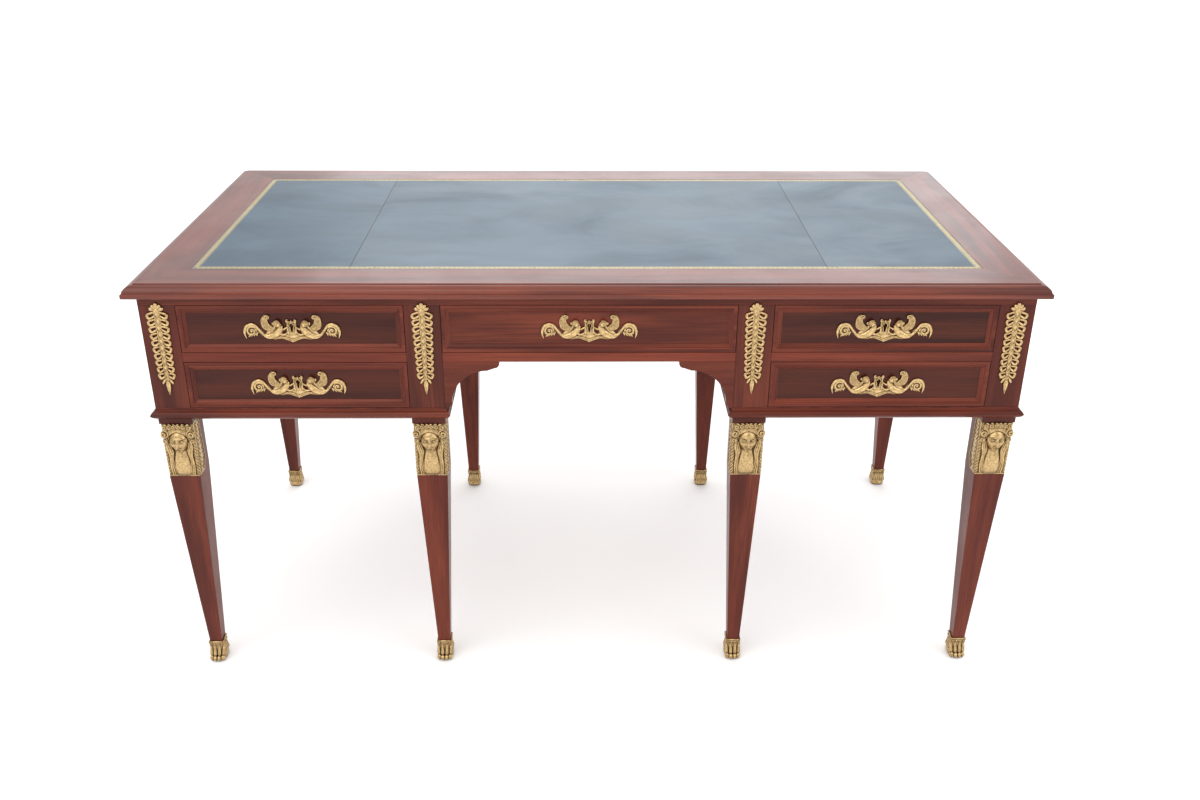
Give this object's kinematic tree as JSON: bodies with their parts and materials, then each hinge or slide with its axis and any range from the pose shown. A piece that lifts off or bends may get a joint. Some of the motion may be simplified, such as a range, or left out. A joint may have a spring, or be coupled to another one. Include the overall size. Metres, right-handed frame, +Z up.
{
  "type": "pedestal writing desk",
  "caption": "Flat-topped writing desk: leather-lined top, drawered case with an arched kneehole, sliding lock bolts, square tapered legs with bust mounts and paw feet.",
  "frame": {"origin": "on the floor under the centre of the desk", "axes": "+Z up, -Y towards the drawers and the sitter, +X to the sitter's right as seen from the front"},
  "size_m": [1.524, 0.762, 0.77],
  "materials": {
    "top_mahogany": "French-polished figured mahogany, grain along each border piece",
    "mahogany": "French-polished straight-grained mahogany",
    "inner_wood": "unpolished oak, lightly waxed",
    "leather": "blue-green hide, fine grain, gold-tooled border",
    "gilt": "gilded cast brass, dark patina in the hollows",
    "lock_brass": "sawn and filed brass, dulled",
    "steel": "slightly oxidised iron"
  },
  "bodies": {
    "desk": {"top_front_border": "top_mahogany", "top_rear_border": "top_mahogany", "top_left_border": "top_mahogany", "top_right_border": "top_mahogany", "top_panel": "inner_wood", "leather_left": "leather", "leather_centre": "leather", "leather_right": "leather", "front_top_rail": "mahogany", "rear_top_rail": "mahogany", "front_stiles": "mahogany", "rear_stiles": "mahogany", "drawer_rails": "mahogany", "left_side": "mahogany", "right_side": "mahogany", "inner_sides": "mahogany", "pedestal_bottoms": "mahogany", "back_panels": "mahogany", "base_mouldings": "mahogany", "arch_brackets": "mahogany", "drawer_runners": "inner_wood", "drawer_stops": "inner_wood", "top_screws": "steel", "capital_blocks": "mahogany", "front_left_outer_leg": "mahogany", "front_left_inner_leg": "mahogany", "front_right_inner_leg": "mahogany", "front_right_outer_leg": "mahogany", "rear_left_outer_leg": "mahogany", "rear_left_inner_leg": "mahogany", "rear_right_inner_leg": "mahogany", "rear_right_outer_leg": "mahogany", "paw_feet": "gilt", "herm_busts": "gilt", "laurel_mounts": "gilt"},
    "upper_left_drawer": {"upper_left_front": "mahogany", "upper_left_box": "inner_wood", "upper_left_keyhole_mount": "gilt", "upper_left_lock": "lock_brass"},
    "upper_left_lock_bolt": {"upper_left_bolt": "lock_brass"},
    "lower_left_drawer": {"lower_left_front": "mahogany", "lower_left_box": "inner_wood", "lower_left_keyhole_mount": "gilt", "lower_left_lock": "lock_brass"},
    "lower_left_lock_bolt": {"lower_left_bolt": "lock_brass"},
    "centre_drawer": {"centre_front": "mahogany", "centre_box": "inner_wood", "centre_keyhole_mount": "gilt", "centre_lock": "lock_brass"},
    "centre_lock_bolt": {"centre_bolt": "lock_brass"},
    "upper_right_drawer": {"upper_right_front": "mahogany", "upper_right_box": "inner_wood", "upper_right_keyhole_mount": "gilt", "upper_right_lock": "lock_brass"},
    "upper_right_lock_bolt": {"upper_right_bolt": "lock_brass"},
    "lower_right_drawer": {"lower_right_front": "mahogany", "lower_right_box": "inner_wood", "lower_right_keyhole_mount": "gilt", "lower_right_lock": "lock_brass"},
    "lower_right_lock_bolt": {"lower_right_bolt": "lock_brass"}
  },
  "joints": [
    {"name": "upper_left_drawer_slide", "type": "slide", "parent": "desk", "child": "upper_left_drawer", "axis": [0, -1, 0], "range_m": [0, 0.4]},
    {"name": "upper_left_bolt_slide", "type": "slide", "parent": "upper_left_drawer", "child": "upper_left_lock_bolt", "axis": [0, 0, 1], "range_m": [0, 0.008]},
    {"name": "lower_left_drawer_slide", "type": "slide", "parent": "desk", "child": "lower_left_drawer", "axis": [0, -1, 0], "range_m": [0, 0.4]},
    {"name": "lower_left_bolt_slide", "type": "slide", "parent": "lower_left_drawer", "child": "lower_left_lock_bolt", "axis": [0, 0, 1], "range_m": [0, 0.008]},
    {"name": "centre_drawer_slide", "type": "slide", "parent": "desk", "child": "centre_drawer", "axis": [0, -1, 0], "range_m": [0, 0.4]},
    {"name": "centre_bolt_slide", "type": "slide", "parent": "centre_drawer", "child": "centre_lock_bolt", "axis": [0, 0, 1], "range_m": [0, 0.008]},
    {"name": "upper_right_drawer_slide", "type": "slide", "parent": "desk", "child": "upper_right_drawer", "axis": [0, -1, 0], "range_m": [0, 0.4]},
    {"name": "upper_right_bolt_slide", "type": "slide", "parent": "upper_right_drawer", "child": "upper_right_lock_bolt", "axis": [0, 0, 1], "range_m": [0, 0.008]},
    {"name": "lower_right_drawer_slide", "type": "slide", "parent": "desk", "child": "lower_right_drawer", "axis": [0, -1, 0], "range_m": [0, 0.4]},
    {"name": "lower_right_bolt_slide", "type": "slide", "parent": "lower_right_drawer", "child": "lower_right_lock_bolt", "axis": [0, 0, 1], "range_m": [0, 0.008]}
  ]
}
